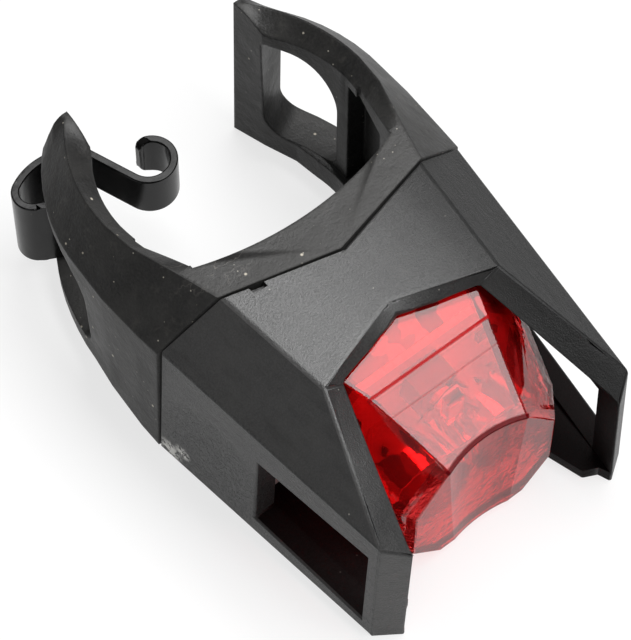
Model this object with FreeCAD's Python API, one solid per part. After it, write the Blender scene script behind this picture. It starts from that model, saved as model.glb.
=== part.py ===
import FreeCAD, Part
import math
import os

# Small clip-on bicycle light with a red lens, millimetres, +Z up.
# The lamp looks along -Y, the tube that it clips to runs along Z behind it.
# Origin: underside, in the middle, level with the outer ends of the seam.

V = FreeCAD.Vector

# Overall
height = 25.6                 # underside to the top face, at the seam
seam_half_width = 20.5        # outer face of one side, on the underside, at the seam
side_toe = 0.111              # each side closes in by this per mm forward
side_draft = 0.040            # each side leans in by this per mm up
top_fall = 0.022              # the top face drops by this per mm forward
seam_vee = 5.1                # the seam's middle lies this far forward of y = 0
seam_rise = 0.25              # the seam runs back by this per mm sideways
seam_gap = 0.2

# Hood
shoulder_height = 19.4        # where a side meets the sloped facet, at the seam
ridge_seam_half = 12.9        # half width of the flat top, at the seam
ridge_front_half = 11.35      # half width of the flat top, at the rim
ridge_front_y = -16.2
rim_apex_y = -12.3
rim_lip_run = 1.5             # plan width of the rim's bevel, at its middle
rim_lip_drop = 0.8            # height of the rim's bevel, at its middle
rim_corner_in = 2.8           # plan width of the bevel at the corners
rim_corner_drop = 1.75
rim_wall_back_y = -16.0       # the sloped walls are thicker in front of this
rim_wall_extra = 1.0
prong_end_y = -31.2           # end of a prong, at its outer face
prong_end_splay = 35.0        # degrees that the end face looks outward
prong_end_draft = 0.023       # the end face comes forward by this per mm down
roof_wall = 1.2
slope_wall = 1.7
side_wall = 2.6
floor_wall = 1.6
floor_mouth_lip = 0.9         # the floor reaches this much further in than the rim
window_back_y = -14.1
window_front_y = -29.6
window_back_z = (2.8, 14.5)
window_front_z = (1.8, 15.3)
pry_slot_x = -9.3
pry_slot_size = (1.7, 0.8, 0.9)

# Battery bay, cells on edge, one behind the other
cell_diameter = 20.0
cell_thickness = 1.6
cell_drop = 0.12              # the cells' axis lies this far below the middle of the bay
bay_clearance = 0.15
fit_gap = 0.2                 # between the inner parts and the hood
carrier_back_y = -7.2
carrier_front_wall = 0.8
contact_thickness = 0.3
contact_gap = 0.1
spigot_length = 4.4           # how far the carrier reaches into the lens
spigot_wall = 1.8
board_thickness = 0.8

# Rear cover
seal_thickness = 0.6
cover_thickness = 1.2
anchor_x = 8.0
anchor_stem_r = 1.5
anchor_head_r = 2.6
anchor_stem = 2.6
anchor_head = 1.0
latch_reach = 0.6
latch_half_height = 3.0

# Lens, outside outline at four places along its length, half widths and heights
lens_back_y = -13.0
lens_crease_y = -19.0
lens_shoulder_y = -25.5
lens_front_y = -28.6
lens_wall = 1.4
lens_front_wall = 2.0
lens_travel = 0.5
lens_clearance = 0.3
lens_valley_depth = 0.85      # of the hollow between the two lobes, at its top
lens_valley_fade = 0.4        # the hollow is this much shallower at the bottom
lens_valley_half = 5.1        # half width of the hollow, at its top

# Lamp inside
led_height = 9.4
led_r = 2.5
led_flange_r = 2.9
led_length = 8.6
reflector_gap = 0.2           # half the space between the two bowls
reflector_side = 4.8          # from the bowls' outer edge to the lens's back corner, sideways
reflector_length = 7.6
reflector_skin = 0.3
switch_size = 4.5
switch_depth = 3.4
switch_drop = 6.85            # of the switch below the lens's top
stem_r = 1.2
stem_length = 1.5
running_gap = 0.05

# Rubber cradle
tube_axis_y = 12.8
tube_r = 14.8                 # inside of the horns
foot_r = 14.1                 # inside of the horns, below their windows
foot_height = 3.4
pad_r = 38.0
pad_front_y = 0.6             # nearest point of the pad's hollow
root_pad = (13.0, 3.3)        # where a horn's inside leaves the pad
root_step = (15.0, 10.5)      # where it steps in to the tube
cradle_top_fall = 0.066       # the cradle's top drops by this per mm back
horn_end_y = 26.9
horn_sweep = 60.0             # degrees round the tube, before the tip is cut square
horn_flat_foot = [(13.75, 15.9), (13.3, 19.0), (11.88, 22.86), (10.65, 26.8)]
horn_flat_top = [(14.3, 15.9), (13.3, 19.0), (11.3, 22.4), (11.1, 26.9)]
horn_tip_swell = 1.2          # the horn's top swells by this near its tip
horn_window_z = (3.45, 20.4)   # at the inside face
horn_window_fall = (0.75, 2.8)  # how much floor and ceiling drop towards the outside
horn_window_round = 2.2       # of the corner at the floor, next to the rib
horn_window_large_round = 4.5  # of the corner at the ceiling, next to the rib
horn_window_tip_round = 0.6   # of the corner at the ceiling, next to the tip
horn_window_floor_round = 3.0  # of the corner at the floor, next to the tip
root_pocket_y = (4.9, 12.2)
root_pocket_z = (3.5, 21.5)
root_pocket_x = 17.2

# Hook that hangs in the left horn
hook_thickness = 0.9
hook_bottom = 3.6
hook_eye_height = 10.45
hook_end_height = 5.8
hook_start = (-13.33, 22.65)
hook_heading = 152.7
hook_tip_round = 1.4


def right_and_left(shape):
    """The shape and its mirror image across the middle plane."""
    return shape, shape.mirror(V(0, 0, 0), V(1, 0, 0))


def polygon_face(points):
    wire = Part.makePolygon([V(*p) for p in points] + [V(*points[0])])
    return Part.Face(wire)


def prism(plan, low, high):
    """A plan outline (x, y) carried up from low to high."""
    face = polygon_face([(x, y, low) for x, y in plan])
    return face.extrude(V(0, 0, high - low))


def box(x, y, z):
    """A box from three (low, high) pairs."""
    return Part.makeBox(x[1] - x[0], y[1] - y[0], z[1] - z[0], V(x[0], y[0], z[0]))


def rod(radius, start, direction, length):
    return Part.makeCylinder(radius, length, V(*start), V(*direction))


def beyond(point, normal):
    """Everything on the outer side of a plane, as one large block."""
    size = 200.0
    block = Part.makeBox(size, size, size, V(-size / 2, -size / 2, 0))
    turn = FreeCAD.Rotation(V(0, 0, 1), V(*normal))
    block.Placement = FreeCAD.Placement(V(*point), turn)
    return block


def normal_of(a, b, c):
    """Unit normal of the plane through three points."""
    n = (V(*b) - V(*a)).cross(V(*c) - V(*a))
    n.normalize()
    return n


def inset(outline, distance):
    """A convex outline moved inward by a distance, or by one distance per side."""
    count = len(outline)
    steps = distance if isinstance(distance, (list, tuple)) else [distance] * count
    area = 0.0
    for i in range(count):
        x0, y0 = outline[i]
        x1, y1 = outline[(i + 1) % count]
        area += x0 * y1 - x1 * y0
    sign = 1.0 if area > 0 else -1.0
    lines = []
    for i in range(count):
        x0, y0 = outline[i]
        x1, y1 = outline[(i + 1) % count]
        length = math.hypot(x1 - x0, y1 - y0)
        nx = -(y1 - y0) / length * sign
        ny = (x1 - x0) / length * sign
        lines.append((nx, ny, nx * x0 + ny * y0 + steps[i]))
    moved = []
    for i in range(count):
        a1, b1, c1 = lines[i - 1]
        a2, b2, c2 = lines[i]
        det = a1 * b2 - a2 * b1
        moved.append(((c1 * b2 - c2 * b1) / det, (a1 * c2 - a2 * c1) / det))
    return moved


def across(outline, y):
    """An (x, z) outline set upright at y."""
    return [(x, y, z) for x, z in outline]


def upright_prism(outline, y_front, y_back):
    return polygon_face(across(outline, y_front)).extrude(V(0, y_back - y_front, 0))


# The lamp body's outer planes


def top_z(y):
    return height + top_fall * y


def side_x(y, z):
    return seam_half_width + side_toe * y - side_draft * z


def seam_y(x):
    return seam_rise * abs(x) - seam_vee


seam_shoulder = (side_x(0, shoulder_height), 0, shoulder_height)
seam_ridge = (ridge_seam_half, seam_y(ridge_seam_half), top_z(seam_y(ridge_seam_half)))
rim_corner = (ridge_front_half, ridge_front_y, top_z(ridge_front_y))
slope_normal = normal_of(seam_ridge, rim_corner, seam_shoulder)
side_normal = V(1, -side_toe, side_draft)
side_normal.normalize()
top_normal = V(0, -top_fall, 1)
top_normal.normalize()


def step_in(point, normal, distance):
    moved = V(*point) - V(normal) * distance
    return (moved.x, moved.y, moved.z)


def body_hull(roof, slope, side, floor, front, back):
    """The lamp body between two y planes, its outer planes moved inward."""
    half = seam_half_width + 2
    hull = box((-half, half), (front, back), (floor, height + 2))
    hull = hull.cut(beyond(step_in((0, 0, height), top_normal, roof), tuple(top_normal)))
    for sign in (1, -1):
        for point, normal, wall in (
            ((seam_half_width, 0, 0), side_normal, side),
            (seam_shoulder, slope_normal, slope),
        ):
            moved = step_in(point, normal, wall)
            hull = hull.cut(
                beyond((sign * moved[0], moved[1], moved[2]), (sign * normal.x, normal.y, normal.z))
            )
    return hull


cell_height = (height - roof_wall + floor_wall) / 2 - cell_drop


def behind_seam(gap):
    """The space behind the seam, which is a shallow vee seen from above."""
    far = 60.0
    wide = 30.0
    low = -1.0
    front = gap - seam_vee
    edge = seam_rise * wide + front
    plan = [(0, front), (wide, edge), (wide, far), (-wide, far), (-wide, edge)]
    return prism(plan, low, height + 5)


def inner_hull(gap, front, back):
    """What fits inside the hood with a gap all round."""
    return body_hull(
        roof_wall + gap, slope_wall + gap, side_wall + gap, floor_wall + gap, front, back
    )


# Hood: four walls, two prongs, bevelled rim, side windows


prong_front_y = prong_end_y - 4.0


def on_slope(x, y):
    """Height of the sloped facet above a plan point."""
    n = slope_normal
    px, py, pz = seam_shoulder
    return pz - (n.x * (x - px) + n.y * (y - py)) / n.z


def prong_outer():
    """Top outer corner of a prong, where slope, side and end meet."""
    z = shoulder_height
    for _ in range(20):
        x = side_x(prong_end_y, z)
        z = on_slope(x, prong_end_y)
    return (x, prong_end_y, z)


def make_hood():
    body = body_hull(0, 0, 0, 0, prong_front_y - 2, 12)
    body = body.cut(behind_seam(0))
    outer = prong_outer()
    splay = math.radians(prong_end_splay)
    end_dir = (math.sin(splay), -math.cos(splay), prong_end_draft)
    for sign in (1, -1):
        point = (sign * outer[0], outer[1], outer[2])
        body = body.cut(beyond(point, (sign * end_dir[0], end_dir[1], end_dir[2])))
    body = body.cut(inner_hull(0, rim_wall_back_y, 13))
    front_room = body_hull(
        roof_wall, slope_wall + rim_wall_extra, side_wall, floor_wall, prong_front_y - 3, rim_wall_back_y
    )
    body = body.cut(front_room)

    # Bevelled rim, as one ruled band per side
    wall_run = side_wall * 1.02
    inner_end = (
        outer[0] - wall_run * math.cos(splay) ** 2 - 1.0,
        outer[1] - wall_run * math.cos(splay) * math.sin(splay) - 0.9,
        outer[2] - 1.5,
    )
    apex = (0, rim_apex_y, top_z(rim_apex_y))
    lip_apex = (0, rim_apex_y - rim_lip_run, apex[2] - rim_lip_drop)
    lip_corner = (
        ridge_front_half - rim_corner_in,
        ridge_front_y - 0.2,
        rim_corner[2] - rim_corner_drop,
    )
    rise = 6.0
    reach = 1.15
    far_outer = tuple(rim_corner[i] + (outer[i] - rim_corner[i]) * reach for i in range(3))
    far_inner = tuple(lip_corner[i] + (inner_end[i] - lip_corner[i]) * reach for i in range(3))
    sections = []
    for outer_point, inner_point in (
        (apex, lip_apex),
        (rim_corner, lip_corner),
        (far_outer, far_inner),
    ):
        up_outer = (outer_point[0], outer_point[1], outer_point[2] + rise)
        up_inner = (inner_point[0], inner_point[1], inner_point[2] + rise)
        ring = [outer_point, inner_point, up_inner, up_outer]
        sections.append(Part.makePolygon([V(*p) for p in ring] + [V(*ring[0])]))
    band = Part.makeLoft(sections, True, True)
    for tool in right_and_left(band):
        body = body.cut(tool)

    # Mouth through the roof, and the same a little narrower through the floor
    front = prong_front_y - 5
    for lip, low, high in ((0, floor_wall, height + 5), (floor_mouth_lip, -1, floor_wall)):
        right = [
            (lip_corner[0] - lip, lip_corner[1]),
            (inner_end[0] - 0.7 - lip, inner_end[1] + 2.4),
            (inner_end[0] + 0.5 - 0.5 * lip, inner_end[1] + 1.6),
            (inner_end[0] + 0.5 - 0.5 * lip, front),
        ]
        if lip == 0:
            right = [right[0], (inner_end[0], inner_end[1]), right[3]]
        left = [(-x, y) for x, y in reversed(right)]
        body = body.cut(prism(right + left + [(0, lip_apex[1])], low, high))

    # Side windows
    gap = [
        (window_back_y, window_back_z[0]),
        (window_back_y, window_back_z[1]),
        (window_front_y, window_front_z[1]),
        (window_front_y, window_front_z[0]),
    ]
    face = polygon_face([(-30, y, z) for y, z in gap])
    body = body.cut(face.extrude(V(60, 0, 0)))

    # Pockets for the rear cover's latches
    for tool in right_and_left(cover_latch(0.15)):
        body = body.cut(tool)

    # Holes for the two screws that hold the carrier
    for sign in (1, -1):
        x = sign * carrier_screw_x
        body = body.cut(rod(carrier_screw_head_r + 0.15, (x, carrier_screw_y, -1), (0, 0, 1), 1.9))
        body = body.cut(rod(carrier_screw_r + 0.1, (x, carrier_screw_y, -1), (0, 0, 1), 4))

    # Slot to open the seam with a coin
    wide, deep, low = pry_slot_size
    y = seam_y(pry_slot_x)
    slot = box(
        (pry_slot_x - wide / 2, pry_slot_x + wide / 2), (y - deep, y + 1), (height - low, height + 2)
    )
    return body.cut(slot)


# Rear cover with its anchors and latches


cover_front_y = carrier_back_y + seal_thickness
cover_back_y = cover_front_y + cover_thickness


def cover_latch(gap):
    """The bump on the right side of the rear cover, grown by a gap."""
    y0 = cover_front_y + 0.1 - gap
    y1 = cover_back_y - 0.1 + gap
    z0 = cell_height - latch_half_height - gap
    z1 = cell_height + latch_half_height + gap
    inner = side_x(cover_front_y, cell_height) - side_wall - 2
    outer = side_x(cover_front_y, cell_height) - side_wall + latch_reach + gap
    return box((inner, outer), (y0, y1), (z0, z1))


def cover_anchors():
    parts = []
    for sign in (1, -1):
        x = sign * anchor_x
        parts.append(rod(anchor_stem_r, (x, cover_back_y, cell_height), (0, 1, 0), anchor_stem))
        start = cover_back_y + anchor_stem
        parts.append(rod(anchor_head_r, (x, start, cell_height), (0, 1, 0), anchor_head))
    return parts


def make_rear_cover():
    plate = inner_hull(fit_gap, cover_front_y, cover_back_y)
    for piece in cover_anchors():
        plate = plate.fuse(piece)
    for piece in right_and_left(cover_latch(0)):
        plate = plate.fuse(piece)
    return plate.removeSplitter()


def make_rear_seal():
    ring = inner_hull(fit_gap + 0.6, carrier_back_y, cover_front_y)
    return ring.cut(inner_hull(fit_gap + 2.1, carrier_back_y - 1, cover_front_y + 1))


# Lens outline


def mirrored(half):
    """A full outline from its right half, listed from the top down."""
    return half + [(-x, z) for x, z in reversed(half)]


lens_half = seam_half_width - 6.0          # half width of the lens at its back
lens_top_half = ridge_seam_half - 3.2      # half width of its top edge at its back
lens_top = height - 1.75                   # its top edge at its back
lens_side_z = shoulder_height - 3.0        # top of its upright sides at its back
led_x = (lens_half - reflector_side) / 2 - 0.05
reflector_mouth_r = led_x - reflector_gap
board_screw_x = lens_half - 4.6
switch_height = lens_top - switch_drop


def lens_section(y, top_half, top, half, side, side_low, low_half, low):
    """One outline of the lens; the first four sizes are steps in from its back."""
    half = lens_half - half
    corner = (lens_top_half - top_half, lens_top - top)
    return (y, mirrored([corner, (half, lens_side_z - side), (half, side_low), (low_half, low)]))


lens_sections = [
    lens_section(lens_back_y, 0, 0, 0, 0, 4.6, lens_half - 4.3, 2.1),
    lens_section(lens_crease_y, 2.1, 1.1, 0.9, 1.6, 4.4, lens_half - 6.0, 1.95),
    lens_section(lens_shoulder_y, 3.8, 4.25, 3.0, 3.2, 4.6, lens_half - 7.5, 1.15),
    lens_section(lens_front_y, 4.6, 5.75, 5.3, 3.6, 5.0, lens_half - 8.9, 1.3),
]


def lens_outline(y):
    """The lens's outside outline at y, between two of its sections."""
    for (y0, a), (y1, b) in zip(lens_sections[:-1], lens_sections[1:]):
        if y >= y1:
            t = (y0 - y) / (y0 - y1)
            return [(p[0] + (q[0] - p[0]) * t, p[1] + (q[1] - p[1]) * t) for p, q in zip(a, b)]
    return lens_sections[-1][1]


def loft(sections):
    wires = []
    for y, outline in sections:
        points = [V(*p) for p in across(outline, y)]
        wires.append(Part.makePolygon(points + [points[0]]))
    return Part.makeLoft(wires, True, True)


carrier_front_y = (
    carrier_back_y - 2 * cell_thickness - 2 * (contact_thickness + contact_gap) - carrier_front_wall
)
spigot_front_y = carrier_front_y - spigot_length
board_front_y = spigot_front_y - board_thickness
led_tip_y = board_front_y - led_length
switch_front_y = board_front_y - switch_depth
stem_tip_y = switch_front_y - stem_length


def inside_lens(gap, front, back):
    """A block that follows the inside of the lens skirt with a gap all round."""
    a = inset(lens_outline(max(front, lens_front_y)), lens_wall + gap)
    b = inset(lens_outline(min(back, lens_back_y)), lens_wall + gap)
    return loft([(back, b), (front, a)])


lens_finger_z = (9.0, 16.0)
lens_finger_wall = 1.3
barb_front_y = carrier_front_y + 0.9
barb_length = 0.8
barb_reach = 0.9


def lens_finger():
    """Right snap finger of the lens, which keeps it in the carrier."""
    outer = lens_sections[0][1][1][0]
    finger = box(
        (outer - lens_finger_wall, outer), (lens_back_y - 0.5, barb_front_y + barb_length), lens_finger_z
    )
    barb = box(
        (outer - 0.5, outer + barb_reach), (barb_front_y, barb_front_y + barb_length), lens_finger_z
    )
    return finger.fuse(barb)


def make_lens():
    outside = loft(lens_sections)
    inner = [(lens_back_y + 0.5, inset(lens_sections[0][1], lens_wall))]
    for y, outline in lens_sections[:-1]:
        inner.append((y, inset(outline, lens_wall)))
    front_y = lens_front_y + lens_front_wall
    inner.append((front_y, inset(lens_outline(front_y), lens_wall)))
    lens = outside.cut(loft(inner))

    # Hollow between the lobes of the front
    depth = lens_valley_depth
    radius = (lens_valley_half ** 2 + depth ** 2) / (2 * depth)
    top = lens_sections[-1][1][0][1]
    bottom = lens_sections[-1][1][3][1]
    lean = lens_valley_fade / (top - bottom)
    y_bottom = lens_front_y + depth - lens_valley_fade - radius
    start = (0, y_bottom - lean * 5, bottom - 5)
    lens = lens.cut(rod(radius, start, (0, lean, 1), top - bottom + 12))

    # Rib that presses the switch
    rib_y = stem_tip_y - running_gap
    rib = box((-1.0, 1.0), (rib_y - 1.1, rib_y), (switch_height - 1.5, height))
    lens = lens.fuse(rib.common(loft(lens_sections)))
    for finger in right_and_left(lens_finger()):
        lens = lens.fuse(finger)
    return lens.removeSplitter()


# Carrier: holds the cells, the contacts and the board


carrier_screw_x = 12.6
carrier_screw_y = -10.0
carrier_screw_r = 0.9
carrier_screw_head_r = 1.7
carrier_screw_head = 0.8
carrier_screw_length = 6.0
board_screw_z = 6.4
board_screw_r = 0.7
board_screw_head_r = 1.25
board_screw_length = 4.0


def make_carrier():
    block = inner_hull(fit_gap, carrier_front_y, carrier_back_y)
    spigot = inside_lens(lens_clearance, spigot_front_y, carrier_front_y)
    hollow = inside_lens(lens_clearance + spigot_wall, spigot_front_y - 1, carrier_front_y)
    spigot = spigot.cut(hollow)
    for sign in (1, -1):
        boss = rod(
            board_screw_r + 1.0,
            (sign * board_screw_x, carrier_front_y, board_screw_z),
            (0, -1, 0),
            spigot_length,
        )
        spigot = spigot.fuse(boss.common(inside_lens(lens_clearance, spigot_front_y, carrier_front_y)))
    block = block.fuse(spigot)
    bay_front = carrier_front_y + carrier_front_wall
    bay = rod(
        cell_diameter / 2 + bay_clearance,
        (0, bay_front, cell_height),
        (0, 1, 0),
        carrier_back_y - bay_front + 1,
    )
    block = block.cut(bay)

    # Groove for the lens seal, round the spigot
    groove = inside_lens(lens_clearance - 0.2, seal_front_y - 0.05, seal_back_y + 0.05)
    groove = groove.cut(
        inside_lens(lens_clearance + seal_depth, seal_front_y - 1, seal_back_y + 1)
    )
    block = block.cut(groove)

    # Room for the lens fingers, each with a wall that holds its barb
    outer = lens_sections[0][1][1][0]
    channel = box(
        (outer - lens_finger_wall - lens_clearance, outer + lens_clearance),
        (carrier_front_y - 1, barb_front_y + 2),
        (lens_finger_z[0] - lens_clearance, lens_finger_z[1] + lens_clearance),
    )
    room = box(
        (outer - lens_finger_wall - lens_clearance, outer + 6),
        (barb_front_y - 0.1, barb_front_y + barb_length + lens_travel + lens_clearance),
        (lens_finger_z[0] - lens_clearance, lens_finger_z[1] + lens_clearance),
    )
    for tool in right_and_left(channel.fuse(room)):
        block = block.cut(tool)

    # Slots for the two battery contacts
    room = [
        (2.0, cell_height + 2.0),
        (-2.0, cell_height + 2.0),
        (rear_tail_x[0] - 0.2, rear_tail_z + 1.8),
        (rear_tail_x[0] - 0.2, rear_tail_z - 0.2),
        (rear_tail_x[1] + 0.2, rear_tail_z - 0.2),
        (2.0, cell_height - 2.0),
    ]
    block = block.cut(upright_prism(room, rear_contact_y - 0.1, carrier_back_y + 1))
    block = block.cut(front_contact_tail(0.1))
    block = block.cut(rear_contact_tail(0.1))

    for sign in (1, -1):
        x = sign * carrier_screw_x
        start = (x, carrier_screw_y, 0)
        block = block.cut(rod(carrier_screw_r, start, (0, 0, 1), carrier_screw_length + 0.3))
        start = (sign * board_screw_x, spigot_front_y - 1, board_screw_z)
        block = block.cut(rod(board_screw_r, start, (0, 1, 0), board_screw_length))
    return block.removeSplitter()


seal_back_y = carrier_front_y - 0.35
seal_front_y = seal_back_y - 0.7
seal_depth = 0.7


def make_lens_seal():
    ring = inside_lens(lens_clearance, seal_front_y, seal_back_y)
    return ring.cut(inside_lens(lens_clearance + seal_depth, seal_front_y - 1, seal_back_y + 1))


# Cells and contacts


def make_cell(front):
    """A coin cell: a can with a smaller raised cap on its rear face."""
    rim = 0.25
    can = rod(cell_diameter / 2, (0, front, cell_height), (0, 1, 0), cell_thickness - rim)
    can = can.makeFillet(0.3, [can.Edges[0]])
    cap = rod(cell_diameter / 2 - 1.4, (0, front, cell_height), (0, 1, 0), cell_thickness)
    return can.fuse(cap).removeSplitter()


bay_front_y = carrier_front_y + carrier_front_wall
cell_front_y = bay_front_y + contact_thickness + contact_gap
contact_half = 3.5
front_tail_x = 5.0
rear_tail_half = 1.5


def front_contact_tail(gap):
    """Tail of the front contact, through the carrier's wall to the board."""
    return box(
        (front_tail_x - 0.8 - gap, front_tail_x + 0.8 + gap),
        (spigot_front_y, bay_front_y + contact_thickness),
        (cell_height - 0.2 - gap, cell_height + 0.2 + gap),
    )


def make_front_contact():
    plate = box(
        (-contact_half, front_tail_x + 0.8),
        (bay_front_y, bay_front_y + contact_thickness),
        (cell_height - 2.0, cell_height + 2.0),
    )
    dimple = Part.makeSphere(1.2, V(0, bay_front_y + contact_thickness + contact_gap - 1.2, cell_height))
    cap = dimple.common(
        box((-2, 2), (bay_front_y + 0.1, bay_front_y + 2), (cell_height - 2, cell_height + 2))
    )
    tail = box(
        (front_tail_x - 0.8, front_tail_x + 0.8),
        (spigot_front_y, bay_front_y + contact_thickness),
        (cell_height - 0.2, cell_height + 0.2),
    )
    return plate.fuse(cap).fuse(tail).removeSplitter()


rear_contact_y = cell_front_y + 2 * cell_thickness + contact_gap
rear_tail_reach = cell_diameter / 2 + 0.4
rear_tail_x = (-0.676 * rear_tail_reach - 1.2, -0.676 * rear_tail_reach)
rear_tail_z = cell_height - 0.742 * rear_tail_reach


def rear_contact_tail(gap):
    """Tail of the rear contact, beside the cells to the board."""
    return box(
        (rear_tail_x[0] - gap, rear_tail_x[1] + gap),
        (spigot_front_y, carrier_back_y + 1),
        (rear_tail_z - gap, rear_tail_z + contact_thickness + gap),
    )


def make_rear_contact():
    y0 = rear_contact_y
    y1 = rear_contact_y + contact_thickness
    low = rear_tail_z
    left, right = rear_tail_x
    outline = [
        (1.8, cell_height + 1.8),
        (-1.8, cell_height + 1.8),
        (left, low + 1.6),
        (left, low),
        (right, low),
        (1.8, cell_height - 1.8),
    ]
    strap = upright_prism(outline, y0, y1)
    tail = box(rear_tail_x, (spigot_front_y, y1), (low, low + contact_thickness))
    dimple = Part.makeSphere(1.2, V(0, y0 - contact_gap + 1.2, cell_height))
    cap = dimple.common(box((-2, 2), (y0 - 1, y1 - 0.1), (cell_height - 2, cell_height + 2)))
    return strap.fuse(tail).fuse(cap).removeSplitter()


# Board and what it carries


def make_board():
    board = inside_lens(lens_clearance + 0.2, board_front_y, spigot_front_y)
    for sign in (1, -1):
        start = (sign * board_screw_x, board_front_y - 1, board_screw_z)
        board = board.cut(rod(board_screw_r + 0.1, start, (0, 1, 0), 3))
        for lead in lead_places(sign):
            board = board.cut(rod(lead_r + 0.1, (lead[0], board_front_y - 1, lead[1]), (0, 1, 0), 3))
    return board


lead_r = 0.3
lead_spread = 1.27
lead_tail = 1.0


def lead_places(sign):
    return [(sign * led_x + s * lead_spread, led_height) for s in (-1, 1)]


def make_led(sign):
    """A round lamp with a flange at its foot and a domed end."""
    x = sign * led_x
    body_length = led_length - led_r
    body = rod(led_r, (x, board_front_y, led_height), (0, -1, 0), body_length)
    flange = rod(led_flange_r, (x, board_front_y, led_height), (0, -1, 0), 1.0)
    dome = Part.makeSphere(led_r, V(x, board_front_y - body_length, led_height))
    return body.fuse(flange).fuse(dome).removeSplitter()


def make_led_leads():
    leads = []
    for sign in (1, -1):
        for x, z in lead_places(sign):
            leads.append(rod(lead_r, (x, board_front_y, z), (0, 1, 0), board_thickness + lead_tail))
    return Part.makeCompound(leads)


def make_reflector(sign):
    """A thin bowl round one lamp, standing on the board."""
    x = sign * led_x
    foot = led_flange_r + 0.1
    mouth = reflector_mouth_r
    skin = reflector_skin
    base_y = board_front_y
    mouth_y = board_front_y - reflector_length
    middle_y = (base_y + mouth_y) / 2 + 1.0
    swell = 0.25
    half = (foot + mouth - skin) / 2 + swell

    def wall(offset):
        start = V(x + foot + offset, base_y, led_height)
        middle = V(x + half + offset, middle_y, led_height)
        end = V(x + mouth - skin + offset, mouth_y, led_height)
        return start, middle, end, Part.Arc(start, middle, end).toShape()

    a0, _, a2, inner = wall(0.0)
    b0, _, b2, outer = wall(skin)
    rim = Part.LineSegment(a2, b2).toShape()
    base = Part.LineSegment(b0, a0).toShape()
    face = Part.Face(Part.Wire(Part.__sortEdges__([inner, rim, outer, base])))
    bowl = face.revolve(V(x, 0, led_height), V(0, 1, 0), 360)
    return bowl


def make_switch_body():
    half = switch_size / 2
    body = box(
        (-half, half), (switch_front_y, board_front_y), (switch_height - half, switch_height + half)
    )
    deep = stem_length + lens_travel + 0.3
    bore = rod(stem_r + running_gap, (0, switch_front_y - 1, switch_height), (0, 1, 0), deep + 1)
    return body.cut(bore)


def make_switch_stem():
    start = (0, stem_tip_y, switch_height)
    return rod(stem_r, start, (0, 1, 0), stem_length * 2 - 0.2)


def make_driver_chip():
    z = 4.3
    return box((-1.5, 1.5), (board_front_y - 1.1, board_front_y), (z - 0.8, z + 0.8))


def make_resistors():
    parts = []
    for sign in (1, -1):
        x = sign * 8.6
        parts.append(box((x - 1.0, x + 1.0), (board_front_y - 0.6, board_front_y), (15.4, 16.7)))
    return Part.makeCompound(parts)


def screw(radius, head_r, head, length, start, direction):
    """A pan head and shank; the head sits against the direction."""
    d = V(*direction)
    head_start = V(*start) - d * head
    shape = rod(head_r, tuple(head_start), direction, head)
    shape = shape.fuse(rod(radius, start, direction, length))
    slot = Part.makeCylinder(head_r * 0.45, head * 0.5, head_start, d)
    return shape.cut(slot)


def make_carrier_screws():
    parts = []
    for sign in (1, -1):
        start = (sign * carrier_screw_x, carrier_screw_y, 0.9)
        parts.append(
            screw(carrier_screw_r, carrier_screw_head_r, carrier_screw_head,
                  carrier_screw_length - 0.9, start, (0, 0, 1))
        )
    return Part.makeCompound(parts)


def make_board_screws():
    parts = []
    for sign in (1, -1):
        start = (sign * board_screw_x, board_front_y, board_screw_z)
        parts.append(
            screw(board_screw_r, board_screw_head_r, 0.7, board_screw_length - 0.4, start, (0, 1, 0))
        )
    return Part.makeCompound(parts)


# Rubber cradle: pad, plug and two horns


def cradle_top(y):
    return height - cradle_top_fall * (y - seam_y(ridge_seam_half))


def horn_ring(at, inner, bottom, shoulder, shoulder_z, ridge, ridge_z, inner_z, swell=0.0):
    """One cross-section of the right horn, in an upright plane."""
    kind, value = at

    def point(r, z):
        if kind == "y":
            return V(r, value, z)
        a = math.radians(value)
        return V(r * math.cos(a), tube_axis_y + r * math.sin(a), z)

    ring = [
        point(inner, 0),
        point(bottom, 0),
        point(shoulder, shoulder_z),
        point(shoulder * 0.75 + ridge * 0.25, shoulder_z * 0.75 + ridge_z * 0.25 + 0.8 * swell),
        point((shoulder + ridge) / 2, (shoulder_z + ridge_z) / 2 + swell),
        point(ridge, ridge_z),
        point((ridge + inner) / 2, (ridge_z + inner_z) / 2 + 0.8 * swell),
        point(inner, inner_z),
    ]
    return Part.makePolygon(ring + [ring[0]])


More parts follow.
